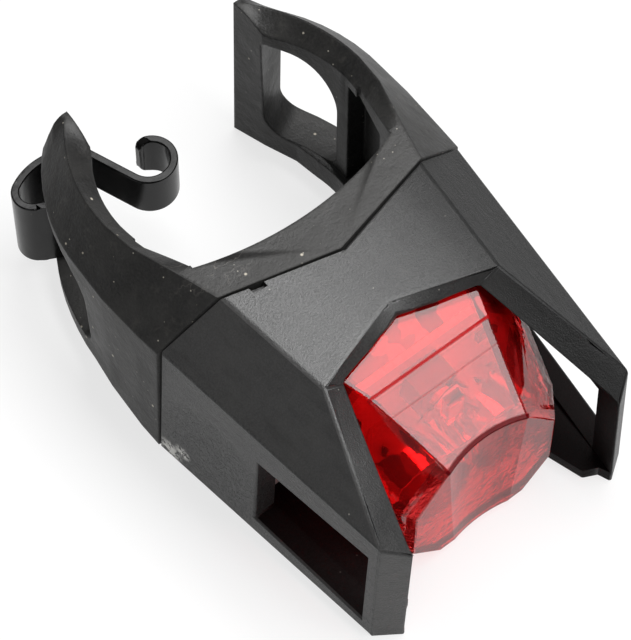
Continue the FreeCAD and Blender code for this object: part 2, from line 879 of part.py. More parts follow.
def make_horn():
    """The right horn, from inside the pad out to its tip."""
    top = cradle_top
    deep = tube_r - 3.5
    inner = tube_r - 1.5
    wide = seam_half_width
    side_z = shoulder_height - 0.4
    lip_z = height - 4.5
    rings = [
        horn_ring(
            ("y", -3.0), deep, wide, wide - 0.75, shoulder_height, ridge_seam_half, top(-3.0), top(-3.0)
        ),
        horn_ring(("y", 3.2), deep, wide, wide - 0.3, side_z, 14.6, top(3.2), top(3.2) - 0.4),
        horn_ring(("y", 9.0), inner, wide - 0.45, wide - 0.1, side_z, tube_r + 1.55, top(9.0), lip_z + 0.5),
    ]
    steps = 10
    for i in range(steps + 1):
        t = i / steps
        degrees = horn_sweep * t
        waist = 0.25 * math.sin(math.pi * min(1.0, 2 * t))
        bottom = wide - 1.05 - waist + 0.75 * max(0.0, t - 0.5) * 2
        shoulder = wide - 0.3 + 0.15 * max(0.0, t - 0.7)
        shoulder_z = side_z + 0.2 + 1.0 * t
        ridge = tube_r + 1.9 + 1.85 * t * t
        inner_z = lip_z + 0.9 * t * t
        y = tube_axis_y + ridge * math.sin(math.radians(degrees))
        swell = horn_tip_swell * (max(0.0, t - 0.6) / 0.2) ** 2
        rings.append(
            horn_ring(
                ("angle", degrees), inner, bottom, shoulder, shoulder_z, ridge, top(y), inner_z, swell
            )
        )
    horn = Part.makeLoft(rings, True, True)
    horn = horn.cut(beyond((0, horn_end_y, 0), (0, 1, 0)))

    # Flat inside the tip, slanted at the foot and nearly square at the top
    ends = []
    for line, z in ((horn_flat_foot, -0.5), (horn_flat_top, height + 1)):
        x, y = line[-1]
        plan = [(0, line[0][1])] + line + [(x - 0.1, y + 3), (0, y + 3)]
        points = [V(px, py, z) for px, py in plan]
        ends.append(Part.makePolygon(points + [points[0]]))
    horn = horn.cut(Part.makeLoft(ends, True, True))
    horn = horn.cut(box((0, wide), (tube_axis_y + 10, horn_end_y + 5), (height, height + 9)))
    return horn


def horn_window(low_round):
    """The opening through the right horn, between its rib and its tip post."""
    inside = [(14.97, 13.8), (11.8, 22.9)]
    outside = [(19.9, 12.9), (16.2, 25.1)]
    plan = []
    for (x0, y0), (x1, y1), t in (
        (inside[0], outside[0], -0.6),
        (inside[0], outside[0], 1.6),
        (inside[1], outside[1], 1.6),
        (inside[1], outside[1], -0.6),
    ):
        plan.append((x0 + (x1 - x0) * t, y0 + (y1 - y0) * t))
    hole = prism(plan, 0, height)
    wall = 5.0
    mid = math.radians(22)
    out = (math.cos(mid), math.sin(mid))
    at = (tube_r * out[0], tube_axis_y + tube_r * out[1])
    floor_fall, roof_fall = horn_window_fall
    low, high = horn_window_z
    hole = hole.cut(beyond((at[0], at[1], high), (out[0] * roof_fall / wall, out[1] * roof_fall / wall, 1)))
    hole = hole.cut(
        beyond((at[0], at[1], low), (-out[0] * floor_fall / wall, -out[1] * floor_fall / wall, -1))
    )
    corners = {}
    for edge in hole.Edges:
        a, b = (v.Point for v in edge.Vertexes)
        reach = [math.hypot(p.x, p.y - tube_axis_y) for p in (a, b)]
        if max(reach) > 17 > min(reach):
            at_floor = (a.z + b.z) / 2 < height / 2
            at_tip = (a.y + b.y) / 2 > tube_axis_y + 6
            corners[(at_floor, at_tip)] = (a + b) * 0.5
    for (at_floor, at_tip), place in corners.items():
        if at_floor:
            radius = low_round if at_tip else horn_window_round
        else:
            radius = horn_window_tip_round if at_tip else horn_window_large_round
        if radius > 0:
            edge = min(hole.Edges, key=lambda e: (e.CenterOfMass - place).Length)
            hole = hole.makeFillet(radius, [edge])
    return hole


def make_cradle():
    back = root_pad[1]
    side = tube_r + 0.5
    block = box((-side, side), (-seam_vee - 1, back), (0, height + 1))
    fall_normal = (0, cradle_top_fall, 1)
    block = block.cut(beyond((0, seam_y(ridge_seam_half), height), fall_normal))
    for sign in (1, -1):
        ridge = [
            (sign * ridge_seam_half, seam_y(ridge_seam_half)),
            (sign * (tube_r + 1.5), 9.0),
            (sign * 30, 9.0),
            (sign * 30, -10),
        ]
        block = block.cut(prism(ridge, height / 2, height + 3))
    body = block
    for horn in right_and_left(make_horn()):
        body = body.fuse(horn)
    pad = rod(pad_r, (0, pad_front_y + pad_r, -1), (0, 0, 1), height + 3)
    bore = rod(tube_r, (0, tube_axis_y, foot_height), (0, 0, 1), height)
    foot = rod(foot_r, (0, tube_axis_y, -1), (0, 0, 1), foot_height + 1)
    root = [
        (-root_pad[0], root_pad[1] - 4),
        (root_pad[0], root_pad[1] - 4),
        root_pad,
        root_step,
        (-root_step[0], root_step[1]),
        (-root_pad[0], root_pad[1]),
    ]
    root = prism(root, foot_height, height + 9)
    body = body.cut(pad.common(bore.fuse(foot).fuse(root)))
    body = body.common(behind_seam(seam_gap))

    # The hook lies in the left window's corner, so that one stays square
    body = body.cut(horn_window(horn_window_floor_round))
    body = body.cut(horn_window(0).mirror(V(0, 0, 0), V(1, 0, 0)))
    pocket = prism(
        [
            (9.0, root_pocket_y[0]),
            (root_pocket_x - 0.4, root_pocket_y[0] + 0.7),
            (root_pocket_x, root_pocket_y[1] - 0.2),
            (9.0, root_pocket_y[1]),
        ],
        *root_pocket_z,
    )
    for tool in right_and_left(pocket):
        body = body.cut(tool)

    # Plug that fills the hood's open back, round the cover's anchors
    plug = inner_hull(fit_gap, cover_back_y, 3).cut(behind_seam(seam_gap))
    body = body.fuse(plug)
    for piece in cover_anchors():
        body = body.cut(piece)
    return body.removeSplitter()


# Hook: a strip on edge, with a wide eye and a narrow open end


def hook_path():
    """Centre line of the strip in plan, from the end in the window outward."""
    z = hook_bottom
    x, y = hook_start
    heading = math.radians(hook_heading)
    edges = []

    def go(length):
        nonlocal x, y
        end = (x + length * math.cos(heading), y + length * math.sin(heading))
        edges.append(Part.LineSegment(V(x, y, z), V(end[0], end[1], z)).toShape())
        x, y = end

    def turn(radius, degrees):
        nonlocal x, y, heading
        side = 1 if degrees > 0 else -1
        angle = math.radians(abs(degrees))
        cx = x - side * radius * math.sin(heading)
        cy = y + side * radius * math.cos(heading)
        points = []
        for part in (0.5, 1.0):
            h = heading + side * angle * part
            points.append(V(cx + side * radius * math.sin(h), cy - side * radius * math.cos(h), z))
        edges.append(Part.Arc(V(x, y, z), points[0], points[1]).toShape())
        x, y = points[1].x, points[1].y
        heading = heading + side * angle

    go(4.6)
    turn(1.95, -122)
    turn(7.1, -56.3)
    go(0.4)
    turn(3.0, -44.5)
    go(5.7)
    turn(2.75, 137)
    turn(2.4, 117)
    return edges


def make_strap_hook():
    edges = hook_path()
    path = Part.Wire(edges)
    start = edges[0].Vertexes[0].Point
    a = math.radians(hook_heading)
    side = V(-math.sin(a), math.cos(a), 0) * (hook_thickness / 2)
    up = V(0, 0, hook_eye_height)
    ring = [start - side, start + side, start + side + up, start - side + up]
    profile = Part.makePolygon(ring + [ring[0]])
    strip = path.makePipeShell([profile], True, False)

    # The open end is narrower: its lower edge steps up behind the horn's tip
    step = hook_eye_height - hook_end_height
    lower = prism(
        [(-12.6, 31), (-11.0, 26.6), (-10.0, 10), (3, 10), (3, 31)],
        hook_bottom - 1, hook_bottom + step
    )
    strip = strip.cut(lower)
    tip = edges[-1].Vertexes[1].Point
    corners = []
    for edge in strip.Edges:
        middle = edge.BoundBox.Center
        near = math.hypot(middle.x - tip.x, middle.y - tip.y) < 0.1
        if near and edge.Length < hook_thickness * 1.2:
            corners.append(edge)
    return strip.makeFillet(hook_tip_round, corners)


parts = {
    "hood": make_hood(),
    "rear_cover": make_rear_cover(),
    "rear_seal": make_rear_seal(),
    "cradle": make_cradle(),
    "strap_hook": make_strap_hook(),
    "lens": make_lens(),
    "lens_seal": make_lens_seal(),
    "carrier": make_carrier(),
    "carrier_screws": make_carrier_screws(),
    "battery_front": make_cell(cell_front_y),
    "battery_rear": make_cell(cell_front_y + cell_thickness),
    "contact_front": make_front_contact(),
    "contact_rear": make_rear_contact(),
    "circuit_board": make_board(),
    "board_screws": make_board_screws(),
    "switch_body": make_switch_body(),
    "switch_stem": make_switch_stem(),
    "driver_chip": make_driver_chip(),
    "resistors": make_resistors(),
    "led_left": make_led(-1),
    "led_right": make_led(1),
    "led_leads": make_led_leads(),
    "reflector_left": make_reflector(-1),
    "reflector_right": make_reflector(1),
}

os.makedirs("parts", exist_ok=True)
for name, shape in parts.items():
    shape.exportStep("parts/" + name + ".step")
    b = shape.BoundBox
    print(
        "%-16s solids %d valid %s volume %9.2f  x %7.2f %7.2f  y %7.2f %7.2f  z %6.2f %6.2f"
        % (name, len(shape.Solids), shape.isValid(), shape.Volume,
           b.XMin, b.XMax, b.YMin, b.YMax, b.ZMin, b.ZMax)
    )
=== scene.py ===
import math

import bmesh
import bpy
from mathutils import Matrix, Vector
from mathutils.bvhtree import BVHTree


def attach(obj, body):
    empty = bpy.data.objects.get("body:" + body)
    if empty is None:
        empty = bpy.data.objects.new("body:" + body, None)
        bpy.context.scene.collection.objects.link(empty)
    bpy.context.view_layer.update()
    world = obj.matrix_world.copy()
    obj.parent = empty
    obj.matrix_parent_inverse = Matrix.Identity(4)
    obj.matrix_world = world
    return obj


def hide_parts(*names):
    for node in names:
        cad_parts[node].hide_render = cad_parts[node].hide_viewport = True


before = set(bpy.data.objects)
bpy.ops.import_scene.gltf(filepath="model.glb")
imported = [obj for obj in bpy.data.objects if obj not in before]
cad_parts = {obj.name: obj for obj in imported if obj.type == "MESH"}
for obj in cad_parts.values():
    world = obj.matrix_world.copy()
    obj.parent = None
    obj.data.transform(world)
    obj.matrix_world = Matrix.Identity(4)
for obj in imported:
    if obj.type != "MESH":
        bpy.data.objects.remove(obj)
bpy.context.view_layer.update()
scene = bpy.context.scene
MM = 0.001


# Places on the part, in millimetres

# Marks on the hood's left side
pitted_patch = (-19.5, -8.0, 6.5)
chipped_corner = (-20.2, -1.6, 1.2)
chipped_spot = (-20.0, -3.4, 2.8)

# Hood: heights between which the shine of its top sets in
shine_start_z = 19.5
shine_full_z = 22.0

# Hood: its inside is painted dark, as shade, below the first height and not above the second, and its
# inner walls count as inside from the first distance off the middle, and fully from the second
dark_inside_z = 18.0
dark_inside_end_z = 19.0
inner_wall_start_x = 6.0
inner_wall_x = 10.0

# Hood: its right side is painted darker, as shade; colour and shine fall from their own starts to one
# end
right_shade_start_x = 4.0
right_shine_start_x = 8.0
right_dark_x = 13.0

# Hood: where the inner edge of a prong's end meets the floor
floor_top_z = 1.6
prong_inner_y = -33.19
end_face_lead = 0.045         # the end face stands this much further forward at the underside

# Thin lines on the pad
pad_lines = (-10.5, 3.5, 25.0)

# Lens: lines across its top, and the hollow of its two-lobed front
lens_crease_y = -19.0
lens_score_y = -21.5
lens_front_y = -28.6
valley_radius = 15.7
valley_centre_y = -43.45
lens_facet_rise = 0.485       # the top's front facet climbs by this per mm back
lens_facet_height = 31.965    # and has this height where y is 0


# Node helpers


def new_material(name):
    mat = bpy.data.materials.new(name)
    mat.use_nodes = True
    tree = mat.node_tree
    tree.nodes.clear()
    out = tree.nodes.new("ShaderNodeOutputMaterial")
    shader = tree.nodes.new("ShaderNodeBsdfPrincipled")
    tree.links.new(shader.outputs["BSDF"], out.inputs["Surface"])
    return mat, tree, shader, out


def place(tree):
    """Position on the object, in metres."""
    return tree.nodes.new("ShaderNodeTexCoord").outputs["Object"]


def noise(tree, scale, detail=2.0, roughness=0.5, stretch=None):
    """Noise value 0 to 1; scale is per metre, so 1000 gives features of about 1 mm."""
    mapping = tree.nodes.new("ShaderNodeMapping")
    if stretch:
        mapping.inputs["Scale"].default_value = stretch
    tree.links.new(place(tree), mapping.inputs["Vector"])
    node = tree.nodes.new("ShaderNodeTexNoise")
    node.inputs["Scale"].default_value = scale
    node.inputs["Detail"].default_value = detail
    node.inputs["Roughness"].default_value = roughness
    tree.links.new(mapping.outputs["Vector"], node.inputs["Vector"])
    return node.outputs["Fac"]


def ramp(tree, value, low, high, out_low=0.0, out_high=1.0):
    """The value's range from low to high, mapped to another range and held at its ends."""
    node = tree.nodes.new("ShaderNodeMapRange")
    node.inputs["From Min"].default_value = low
    node.inputs["From Max"].default_value = high
    node.inputs["To Min"].default_value = out_low
    node.inputs["To Max"].default_value = out_high
    tree.links.new(value, node.inputs["Value"])
    return node.outputs["Result"]


def specks(tree, scale, size, offset=(0, 0, 0)):
    """Sparse round dots: 1 inside a dot, falling to 0 at its size."""
    full_share = 0.45
    mapping = tree.nodes.new("ShaderNodeMapping")
    mapping.inputs["Location"].default_value = offset
    tree.links.new(place(tree), mapping.inputs["Vector"])
    node = tree.nodes.new("ShaderNodeTexVoronoi")
    node.feature = "F1"
    node.inputs["Scale"].default_value = scale
    tree.links.new(mapping.outputs["Vector"], node.inputs["Vector"])
    return ramp(tree, node.outputs["Distance"], size, size * full_share)


def math_node(tree, operation, a, b=0.0):
    node = tree.nodes.new("ShaderNodeMath")
    node.operation = operation
    for socket, value in ((node.inputs[0], a), (node.inputs[1], b)):
        if isinstance(value, (int, float)):
            socket.default_value = value
        else:
            tree.links.new(value, socket)
    return node.outputs[0]


def times(tree, a, b):
    return math_node(tree, "MULTIPLY", a, b)


def minus(tree, a, b):
    return math_node(tree, "SUBTRACT", a, b)


def greater(tree, a, b):
    return math_node(tree, "MAXIMUM", a, b)


def mix_color(tree, factor, a, b):
    node = tree.nodes.new("ShaderNodeMix")
    node.data_type = "RGBA"
    for socket, value in ((node.inputs["Factor"], factor), (node.inputs[6], a), (node.inputs[7], b)):
        if isinstance(value, (int, float)):
            socket.default_value = value
        elif isinstance(value, tuple):
            socket.default_value = value + (1.0,)
        else:
            tree.links.new(value, socket)
    return node.outputs[2]


def mix_shader(tree, factor, a, b):
    node = tree.nodes.new("ShaderNodeMixShader")
    if isinstance(factor, float):
        node.inputs["Fac"].default_value = factor
    else:
        tree.links.new(factor, node.inputs["Fac"])
    tree.links.new(a, node.inputs[1])
    tree.links.new(b, node.inputs[2])
    return node.outputs["Shader"]


def facing(tree, axis):
    """How far the surface faces along one axis, -1 to 1."""
    split = tree.nodes.new("ShaderNodeSeparateXYZ")
    normal = tree.nodes.new("ShaderNodeNewGeometry").outputs["Normal"]
    tree.links.new(normal, split.inputs["Vector"])
    return split.outputs[axis]


def bump(tree, shader, heights, rounding=0.0):
    """Adds (value, depth in metres) pairs as bump, one on top of the other.

    With a rounding, in millimetres, edges catch the light as if they were rounded.
    """
    normal = None
    if rounding:
        edge = tree.nodes.new("ShaderNodeBevel")
        edge.samples = 4
        edge.inputs["Radius"].default_value = rounding * MM
        normal = edge.outputs["Normal"]
    for value, depth in heights:
        node = tree.nodes.new("ShaderNodeBump")
        node.inputs["Strength"].default_value = 1.0
        node.inputs["Distance"].default_value = depth
        tree.links.new(value, node.inputs["Height"])
        if normal is not None:
            tree.links.new(normal, node.inputs["Normal"])
        normal = node.outputs["Normal"]
    tree.links.new(normal, shader.inputs["Normal"])


def coordinate(tree, axis):
    """One coordinate of the position, in millimetres."""
    split = tree.nodes.new("ShaderNodeSeparateXYZ")
    tree.links.new(place(tree), split.inputs["Vector"])
    return times(tree, split.outputs[axis], 1 / MM)


def line_at(tree, value, at, half, soft):
    """1 where the value lies within half of at, falling to 0 over soft."""
    away = math_node(tree, "ABSOLUTE", minus(tree, value, at))
    return ramp(tree, away, half + soft, half)


def near(tree, centre, radius):
    """1 round a point, falling to 0 at the radius; both in millimetres."""
    full_share = 0.4
    node = tree.nodes.new("ShaderNodeVectorMath")
    node.operation = "DISTANCE"
    tree.links.new(place(tree), node.inputs[0])
    node.inputs[1].default_value = tuple(c * MM for c in centre)
    return ramp(tree, node.outputs["Value"], radius * MM, radius * MM * full_share)


# Materials of the four pieces that show


def shell_plastic():
    """Finely grained dark grey plastic, worn on its left side, with painted light on its left slope and
    painted shade on its right side and inside.
    """
    dark_grain = (0.017, 0.017, 0.0175)
    light_grain = (0.038, 0.0377, 0.037)
    slope_painted_light = (0.046, 0.045, 0.0445)
    cloud_grey = (0.044, 0.0435, 0.042)
    smear_black = (0.012, 0.012, 0.012)
    pit_black = (0.006, 0.006, 0.006)
    dust = (0.22, 0.21, 0.19)
    chip_white = (0.72, 0.71, 0.68)
    right_painted_shade = (0.009, 0.009, 0.009)
    inside_painted_shade = (0.006, 0.004, 0.004)

    mat, tree, shader, _ = new_material("hood_plastic")
    grain = noise(tree, 5200, detail=3.0, roughness=0.6)
    fine = noise(tree, 11000, roughness=0.6)
    cloud = noise(tree, 260, detail=3.0, roughness=0.55)
    smear = noise(tree, 900, detail=3.0, roughness=0.6, stretch=(1.0, 0.25, 1.0))
    x = coordinate(tree, "X")
    z = coordinate(tree, "Z")
    base = mix_color(tree, ramp(tree, grain, 0.36, 0.66), dark_grain, light_grain)

    # Painted light: the left slope is a little lighter by which way it faces, with clouds and smears all
    # over
    leans_left = ramp(tree, facing(tree, "X"), -0.3, -0.45)
    not_upright = ramp(tree, facing(tree, "X"), -0.75, -0.60)
    slope = times(tree, leans_left, not_upright)
    base = mix_color(tree, times(tree, slope, 0.8), base, slope_painted_light)
    base = mix_color(tree, ramp(tree, cloud, 0.42, 0.72, 0.0, 0.35), base, cloud_grey)
    base = mix_color(tree, ramp(tree, smear, 0.50, 0.75, 0.0, 0.35), base, smear_black)

    # Pits, dust and a white chipped corner
    pits = ramp(tree, noise(tree, 2600, detail=3.0, roughness=0.7), 0.50, 0.54)
    pits = times(tree, near(tree, pitted_patch, radius=8.5), pits)
    base = mix_color(tree, times(tree, pits, 0.85), base, pit_black)
    base = mix_color(tree, specks(tree, 420, size=0.05), base, dust)
    chip = greater(tree, near(tree, chipped_corner, radius=1.9), near(tree, chipped_spot, radius=1.3))
    chip = times(tree, chip, ramp(tree, noise(tree, 1500, detail=3.0, roughness=0.7), 0.44, 0.50))
    base = mix_color(tree, chip, base, chip_white)

    # Painted shade: the right side is darker, and so are floor and inner walls, seen through mouth and
    # windows
    faces_up = ramp(tree, facing(tree, "Z"), 0.90, 0.97)
    faces_in = times(tree, x, facing(tree, "X"))
    faces_in = ramp(tree, faces_in, -inner_wall_start_x, -inner_wall_x)
    inside = greater(tree, faces_up, faces_in)
    inside = times(tree, inside, ramp(tree, z, dark_inside_end_z, dark_inside_z))
    # Painted shade: the right side is darker toward its end
    right = ramp(tree, x, right_shade_start_x, right_dark_x, 0.0, 0.85)
    base = mix_color(tree, right, base, right_painted_shade)
    base = mix_color(tree, times(tree, inside, 0.8), base, inside_painted_shade)
    tree.links.new(base, shader.inputs["Base Color"])
    tree.links.new(ramp(tree, grain, 0.3, 0.7, 0.42, 0.30), shader.inputs["Roughness"])

    # Shine of the flat top, strongest on its left
    level = ramp(tree, facing(tree, "Z"), 0.7, 0.97)
    level = times(tree, level, ramp(tree, z, shine_start_z, shine_full_z))
    shine = times(tree, ramp(tree, x, -7.0, 10.0, 1.0, 0.2), level)
    shine = minus(tree, shine, times(tree, inside, 0.26))
    shine = minus(tree, shine, ramp(tree, x, right_shine_start_x, right_dark_x, 0.0, 0.14))
    tree.links.new(ramp(tree, shine, -0.26, 1.0, 0.02, 0.95), shader.inputs["Specular IOR Level"])
    bump(tree, shader, [(grain, 0.00006), (fine, 0.00002), (smear, 0.00005), (pits, -0.0003)])
    return mat


def cradle_rubber():
    """Dusty black rubber, painted lighter on faces that look up, as light falling from above."""
    dark_grain = (0.009, 0.0088, 0.0085)
    light_grain = (0.018, 0.0175, 0.017)
    cloud_grey = (0.030, 0.029, 0.027)
    dust_film = (0.060, 0.056, 0.050)
    top_painted_light = (0.044, 0.043, 0.0415)
    large_speck = (0.50, 0.46, 0.38)
    small_speck = (0.30, 0.28, 0.24)
    line_grey = (0.13, 0.12, 0.11)

    mat, tree, shader, _ = new_material("cradle_rubber")
    grain = noise(tree, 3600, detail=3.0, roughness=0.6)
    cloud = noise(tree, 220, detail=4.0, roughness=0.6)
    film = noise(tree, 700, detail=4.0, roughness=0.7, stretch=(1.0, 1.0, 0.7))
    base = mix_color(tree, ramp(tree, grain, 0.3, 0.7), dark_grain, light_grain)
    base = mix_color(tree, ramp(tree, cloud, 0.45, 0.75, 0.0, 0.55), base, cloud_grey)
    base = mix_color(tree, ramp(tree, film, 0.56, 0.80, 0.0, 0.5), base, dust_film)
    # Painted light: faces that look up get a lighter grey, in place of the light their tops catch
    lit_top = ramp(tree, facing(tree, "Z"), 0.93, 0.985, 0.0, 0.55)
    base = mix_color(tree, lit_top, base, top_painted_light)
    base = mix_color(tree, specks(tree, 360, size=0.075), base, large_speck)
    base = mix_color(tree, specks(tree, 720, size=0.075, offset=(0.3, 0.1, 0.2)), base, small_speck)
    field = noise(tree, 300, detail=3.0, roughness=0.6, stretch=(1.0, 1.6, 1.0))
    thin = line_at(tree, field, 0.5, half=0.006, soft=0.008)
    thin = times(tree, thin, near(tree, pad_lines, radius=5.5))
    base = mix_color(tree, times(tree, thin, 0.7), base, line_grey)
    tree.links.new(base, shader.inputs["Base Color"])
    tree.links.new(ramp(tree, cloud, 0.3, 0.7, 0.40, 0.52), shader.inputs["Roughness"])
    shine = ramp(tree, facing(tree, "Z"), 0.6, 0.985, 0.14, 0.42)
    tree.links.new(shine, shader.inputs["Specular IOR Level"])
    shader.inputs["Sheen Weight"].default_value = 0.04
    shader.inputs["Sheen Roughness"].default_value = 0.5
    bump(tree, shader, [(grain, 0.00004), (cloud, 0.0002)], rounding=0.45)
    return mat


def hook_plastic():
    """Glossy black plastic with faint flow marks and a few dust specks."""
    black = (0.003, 0.003, 0.003)
    flow_black = (0.006, 0.0058, 0.0055)
    dust = (0.16, 0.15, 0.13)

    mat, tree, shader, _ = new_material("hook_plastic")
    flow = noise(tree, 420, detail=3.0, roughness=0.5, stretch=(1.0, 1.0, 0.35))
    base = mix_color(tree, ramp(tree, flow, 0.4, 0.7), black, flow_black)
    base = mix_color(tree, specks(tree, 700, size=0.05), base, dust)
    tree.links.new(base, shader.inputs["Base Color"])
    tree.links.new(ramp(tree, flow, 0.3, 0.75, 0.14, 0.26), shader.inputs["Roughness"])
    shader.inputs["Specular IOR Level"].default_value = 0.2
    bump(tree, shader, [(flow, 0.00006)])
    return mat


def lens_lines(tree, y, above):
    """Lines across the lens's top and the band along its two-lobed front edge; the crease line and the
    band are painted shade.

    Above is 1 on the top facets. Returns all lines, and the band by itself.
    """
    crease = times(tree, above, line_at(tree, y, lens_crease_y, half=0.10, soft=0.14))
    score = times(tree, above, line_at(tree, y, lens_score_y, half=0.03, soft=0.09))
    x = coordinate(tree, "X")
    reach = minus(tree, valley_radius ** 2, times(tree, x, x))
    valley = math_node(tree, "ADD", math_node(tree, "SQRT", reach), valley_centre_y)
    edge_y = greater(tree, valley, lens_front_y)
    band = times(tree, ramp(tree, minus(tree, y, edge_y), 0.50, 0.32), above)
    lines = greater(tree, greater(tree, crease, times(tree, score, 0.35)), band)
    return lines, band


def lens_plastic():
    """Clear red plastic, a little milky, rippled below its top facets."""
    red = (0.93, 0.055, 0.060)
    haze_red = (0.96, 0.075, 0.075)
    milk_red = (0.45, 0.012, 0.014, 1.0)
    line_red = (0.36, 0.006, 0.008)
    front_edge_painted_shade = (0.09, 0.002, 0.004)
    light_red = (0.70, 0.06, 0.06, 1.0)
    milk_share = 0.12
    line_share = 0.9

    mat, tree, shader, out = new_material("lens_red")
    haze = noise(tree, 500, detail=3.0, roughness=0.6)
    wave = noise(tree, 160)
    y = coordinate(tree, "Y")
    z = coordinate(tree, "Z")
    base = mix_color(tree, ramp(tree, haze, 0.3, 0.7), red, haze_red)
    tree.links.new(base, shader.inputs["Base Color"])
    tree.links.new(ramp(tree, haze, 0.35, 0.75, 0.015, 0.05), shader.inputs["Roughness"])
    shader.inputs["Transmission Weight"].default_value = 1.0
    shader.inputs["IOR"].default_value = 1.52
    shine = ramp(tree, facing(tree, "X"), 0.15, 0.5, 0.5, 0.08)
    tree.links.new(shine, shader.inputs["Specular IOR Level"])

    # Ripples on the sides and inside, below the top facets and behind the front
    ripple = noise(tree, 620, detail=2.5, roughness=0.55)
    low = times(tree, ramp(tree, z, 17.0, 13.5), ramp(tree, y, -27.7, -27.3))
    bump(tree, shader, [(wave, 0.000008), (times(tree, ripple, low), 0.0003)])

    # Milky share of the plastic
    milk = tree.nodes.new("ShaderNodeBsdfDiffuse")
    milk.inputs["Color"].default_value = milk_red
    body = mix_shader(tree, milk_share, shader.outputs["BSDF"], milk.outputs["BSDF"])

    # Painted shade: red lines where the facets meet, which mirror nothing, and a near-black band along
    # the front edge
    facet = math_node(tree, "ADD", times(tree, y, lens_facet_rise), lens_facet_height)
    above = ramp(tree, minus(tree, z, facet), -0.42, -0.25)
    lines, band = lens_lines(tree, y, above)
    edge = tree.nodes.new("ShaderNodeBsdfDiffuse")
    tree.links.new(mix_color(tree, band, line_red, front_edge_painted_shade), edge.inputs["Color"])
    lined = mix_shader(tree, times(tree, lines, line_share), body, edge.outputs["BSDF"])

    # Lets the lamps of the scene light the inside
    clear = tree.nodes.new("ShaderNodeBsdfTransparent")
    clear.inputs["Color"].default_value = light_red
    path = tree.nodes.new("ShaderNodeLightPath")
    surface = mix_shader(tree, path.outputs["Is Shadow Ray"], lined, clear.outputs["BSDF"])
    tree.links.new(surface, out.inputs["Surface"])
    return mat


# Materials of the pieces inside


def plain_plastic(name, low, high, rough, spec=0.5):
    """Plastic or rubber whose colour varies between two tones."""
    mat, tree, shader, _ = new_material(name)
    value = noise(tree, 3000, detail=3.0, roughness=0.6)
    base = mix_color(tree, ramp(tree, value, 0.35, 0.7), low, high)
    tree.links.new(base, shader.inputs["Base Color"])
    tree.links.new(ramp(tree, value, 0.3, 0.7, rough - 0.05, rough + 0.05), shader.inputs["Roughness"])
    shader.inputs["Specular IOR Level"].default_value = spec
    bump(tree, shader, [(value, 0.00003)])
    return mat


def carrier_plastic():
    """Light plastic with square darker patches, which show through the lens."""
    light = (0.66, 0.655, 0.64)
    lighter = (0.74, 0.735, 0.72)
    grey_patch = (0.26, 0.25, 0.25)
    dark_patch = (0.12, 0.11, 0.11)

    mat, tree, shader, _ = new_material("carrier_plastic")
    cells = tree.nodes.new("ShaderNodeTexVoronoi")
    cells.feature = "F1"
    cells.distance = "CHEBYCHEV"
    cells.inputs["Scale"].default_value = 520.0
    tree.links.new(place(tree), cells.inputs["Vector"])
    split = tree.nodes.new("ShaderNodeSeparateColor")
    tree.links.new(cells.outputs["Color"], split.inputs["Color"])
    value = noise(tree, 3000, detail=3.0, roughness=0.6)
    base = mix_color(tree, ramp(tree, value, 0.35, 0.7), light, lighter)
    base = mix_color(tree, ramp(tree, split.outputs["Red"], 0.64, 0.66), base, grey_patch)
    base = mix_color(tree, ramp(tree, split.outputs["Green"], 0.80, 0.82), base, dark_patch)
    tree.links.new(base, shader.inputs["Base Color"])
    tree.links.new(ramp(tree, value, 0.3, 0.7, 0.37, 0.47), shader.inputs["Roughness"])
    bump(tree, shader, [(value, 0.00003)])
    return mat


def metal(name, low, high, rough, grain=1600, stretch=(1, 6, 1)):
    """Bare metal whose tone and roughness vary along its grain."""
    mat, tree, shader, _ = new_material(name)
    value = noise(tree, grain, detail=3.0, roughness=0.6, stretch=stretch)
    base = mix_color(tree, ramp(tree, value, 0.35, 0.7), low, high)
    tree.links.new(base, shader.inputs["Base Color"])
    tree.links.new(ramp(tree, value, 0.3, 0.7, rough * 0.8, rough * 1.3), shader.inputs["Roughness"])
    shader.inputs["Metallic"].default_value = 1.0
    bump(tree, shader, [(value, 0.00001)])
    return mat


def led_epoxy():
    """Clear, faintly red resin of the lamps."""
    mat, tree, shader, _ = new_material("led_epoxy")
    haze = noise(tree, 900)
    base = mix_color(tree, ramp(tree, haze, 0.3, 0.7), (0.95, 0.60, 0.58), (0.97, 0.72, 0.70))
    tree.links.new(base, shader.inputs["Base Color"])
    tree.links.new(ramp(tree, haze, 0.3, 0.7, 0.05, 0.12), shader.inputs["Roughness"])
    shader.inputs["Transmission Weight"].default_value = 0.75
    shader.inputs["IOR"].default_value = 1.5
    return mat


def board_resin():
    """Light circuit board with faint tracks."""
    resin = (0.74, 0.74, 0.72, 1)
    light_resin = (0.78, 0.78, 0.76, 1)
    track = (0.60, 0.60, 0.58, 1)
    speck_grey = (0.66, 0.66, 0.64)

    mat, tree, shader, _ = new_material("board_resin")
    speck = noise(tree, 2600)
    tracks = tree.nodes.new("ShaderNodeTexBrick")
    tracks.inputs["Scale"].default_value = 420.0
    tracks.inputs["Mortar Size"].default_value = 0.035
    tracks.inputs["Color1"].default_value = resin
    tracks.inputs["Color2"].default_value = light_resin
    tracks.inputs["Mortar"].default_value = track
    upright = tree.nodes.new("ShaderNodeMapping")
    upright.inputs["Rotation"].default_value = (math.pi / 2, 0, 0)
    tree.links.new(place(tree), upright.inputs["Vector"])
    tree.links.new(upright.outputs["Vector"], tracks.inputs["Vector"])
    base = mix_color(tree, ramp(tree, speck, 0.4, 0.7, 0.0, 0.3), tracks.outputs["Color"], speck_grey)
    tree.links.new(base, shader.inputs["Base Color"])
    shader.inputs["Roughness"].default_value = 0.35
    bump(tree, shader, [(tracks.outputs["Fac"], 0.00003)])
    return mat


